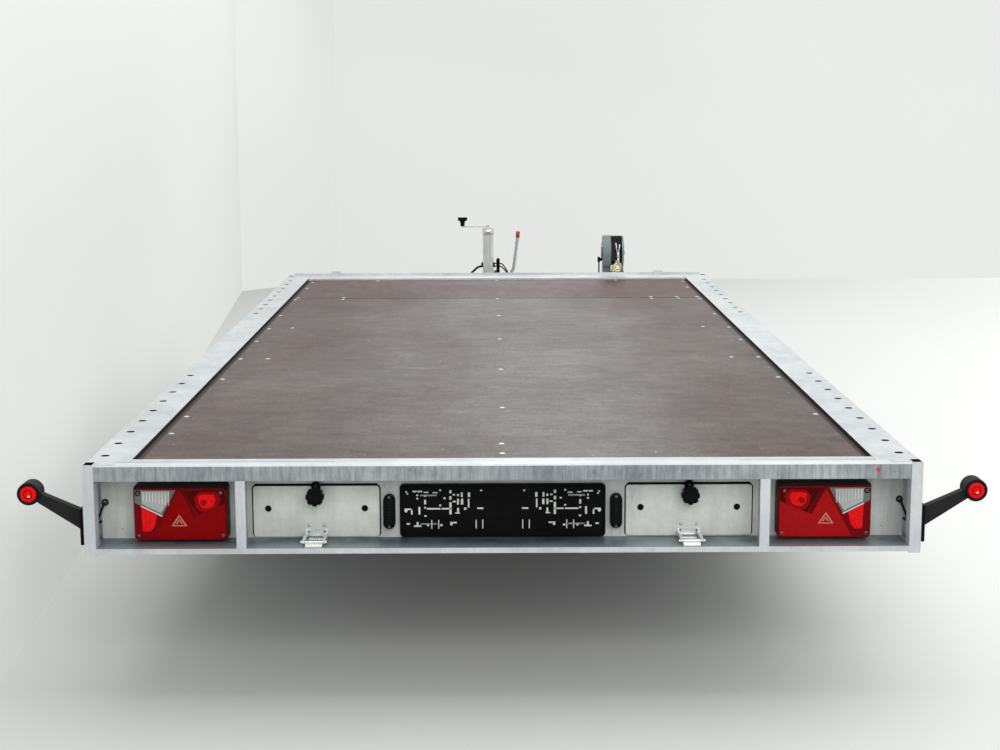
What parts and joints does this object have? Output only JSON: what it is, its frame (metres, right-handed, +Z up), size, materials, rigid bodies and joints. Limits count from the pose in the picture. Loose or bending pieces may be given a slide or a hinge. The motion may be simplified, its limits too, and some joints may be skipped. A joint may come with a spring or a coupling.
{
  "type": "car hauler trailer",
  "caption": "Flat-deck car hauler trailer with wheels under the bed, hinged ramp-well covers, A-frame drawbar, jockey wheel and hand winch.",
  "frame": {"origin": "on the ground, under the middle of the overall length and width", "axes": "+Z up, +Y forward to the coupling, +X to the right seen from behind"},
  "size_m": [2.47, 6.06, 0.862],
  "materials": {
    "galvanised": "hot-dip galvanised, satin",
    "cover_sheet": "galvanised sheet, dull",
    "zinc": "bright zinc plate",
    "deck_ply": "phenolic-faced plywood",
    "seal_rubber": "matt",
    "tyre_rubber": "matt",
    "rim_steel": "silver paint",
    "black_plastic": "moulded",
    "lens_red": "clear red lens",
    "lens_amber": "amber reflector",
    "ramp_alloy": "mill finish",
    "coupling_steel": "zinc and black paint",
    "winch_steel": "grey-green paint",
    "hook_brass": "plated"
  },
  "bodies": {
    "chassis": {"axle_front": "galvanised", "axle_rear": "galvanised", "brake_rod": "galvanised", "corner_posts": "galvanised", "coupling_handle": "black_plastic", "coupling_head": "coupling_steel", "cover_hinges": "zinc", "cross_members": "galvanised", "deck_board": "deck_ply", "deck_front_board": "deck_ply", "deck_seals": "seal_rubber", "drawbar_left": "galvanised", "drawbar_plates": "galvanised", "drawbar_right": "galvanised", "front_rail": "galvanised", "handbrake_lever": "black_plastic", "jockey_clamp": "galvanised", "jockey_crank": "zinc", "jockey_tube": "zinc", "main_beams": "galvanised", "marker_lamps": "seal_rubber", "marker_leads": "seal_rubber", "marker_lenses": "lens_red", "overrun_gaiter": "seal_rubber", "overrun_housing": "coupling_steel", "plate_holder": "black_plastic", "plate_lamps": "black_plastic", "plug_lead": "seal_rubber", "ramp_guides": "galvanised", "ramps": "ramp_alloy", "rear_beam": "galvanised", "rear_frame": "galvanised", "rear_panel": "galvanised", "side_rail_left": "galvanised", "side_rail_right": "galvanised", "side_reflectors": "lens_amber", "swing_arms": "galvanised", "tail_lamp_cases": "black_plastic", "tail_lamp_lenses": "lens_red", "winch_bracket": "galvanised", "winch_drum": "black_plastic", "winch_frame": "winch_steel", "winch_handle": "black_plastic", "winch_hook": "hook_brass"},
    "wheel_front_left": {"tyre_front_left": "tyre_rubber", "rim_front_left": "rim_steel"},
    "wheel_front_right": {"tyre_front_right": "tyre_rubber", "rim_front_right": "rim_steel"},
    "wheel_rear_left": {"tyre_rear_left": "tyre_rubber", "rim_rear_left": "rim_steel"},
    "wheel_rear_right": {"tyre_rear_right": "tyre_rubber", "rim_rear_right": "rim_steel"},
    "cover_left": {"ramp_cover_left": "cover_sheet", "cover_knob_left": "black_plastic"},
    "cover_right": {"ramp_cover_right": "cover_sheet", "cover_knob_right": "black_plastic"},
    "jockey_inner": {"jockey_leg": "zinc"},
    "jockey_swivel": {"jockey_fork": "zinc"},
    "jockey_roller": {"jockey_wheel": "tyre_rubber"}
  },
  "joints": [
    {"name": "wheel_rear_left_spin", "type": "hinge", "parent": "chassis", "child": "wheel_rear_left", "pos_m": [-0.915, -1.2, 0.234], "axis": [1, 0, 0], "continuous": true},
    {"name": "wheel_rear_right_spin", "type": "hinge", "parent": "chassis", "child": "wheel_rear_right", "pos_m": [0.915, -1.2, 0.234], "axis": [1, 0, 0], "continuous": true},
    {"name": "wheel_front_left_spin", "type": "hinge", "parent": "chassis", "child": "wheel_front_left", "pos_m": [-0.915, -0.48, 0.234], "axis": [1, 0, 0], "continuous": true},
    {"name": "wheel_front_right_spin", "type": "hinge", "parent": "chassis", "child": "wheel_front_right", "pos_m": [0.915, -0.48, 0.234], "axis": [1, 0, 0], "continuous": true},
    {"name": "cover_left_hinge", "type": "hinge", "parent": "chassis", "child": "cover_left", "pos_m": [-0.482, -3.005, 0.413], "axis": [1, 0, 0], "range_deg": [0, 180]},
    {"name": "cover_right_hinge", "type": "hinge", "parent": "chassis", "child": "cover_right", "pos_m": [0.482, -3.005, 0.413], "axis": [1, 0, 0], "range_deg": [0, 180]},
    {"name": "jockey_leg_slide", "type": "slide", "parent": "chassis", "child": "jockey_inner", "axis": [0, 0, 1], "range_m": [-0.06, 0.15]},
    {"name": "jockey_fork_swivel", "type": "hinge", "parent": "jockey_inner", "child": "jockey_swivel", "pos_m": [-0.047, 2.22, 0.24], "axis": [0, 0, 1], "continuous": true},
    {"name": "jockey_wheel_spin", "type": "hinge", "parent": "jockey_swivel", "child": "jockey_roller", "pos_m": [-0.047, 2.172, 0.105], "axis": [1, 0, 0], "continuous": true}
  ]
}
